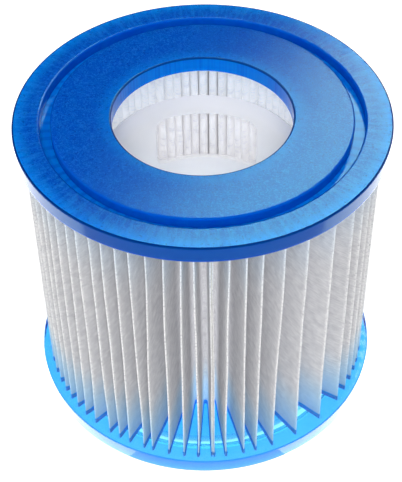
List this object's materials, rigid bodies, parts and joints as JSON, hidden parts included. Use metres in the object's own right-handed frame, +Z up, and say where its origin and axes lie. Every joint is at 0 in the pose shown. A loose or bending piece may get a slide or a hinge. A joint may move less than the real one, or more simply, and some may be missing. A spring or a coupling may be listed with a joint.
{
  "type": "filter cartridge",
  "caption": "Short drum filter cartridge: a pleated media ring cast between two grooved blue end caps with a bore, round a white core tube with windows.",
  "frame": {"origin": "centre of the bottom end cap's outer face, on the axis of the bore", "axes": "+Z up along the bore from the bottom cap to the top cap; -Y towards the glued pleat"},
  "size_m": [0.106, 0.106, 0.0956],
  "materials": {
    "cap_blue": "soft cast vinyl, translucent blue, satin",
    "filter_media": "white spun-bonded polyester, fibrous and matte",
    "seam_glue": "hot-melt glue, milky",
    "core_white": "moulded white polypropylene, satin"
  },
  "bodies": {
    "root": {"top_end_cap": "cap_blue", "bottom_end_cap": "cap_blue", "pleated_media": "filter_media", "media_seam": "seam_glue", "core_tube": "core_white"}
  },
  "joints": []
}
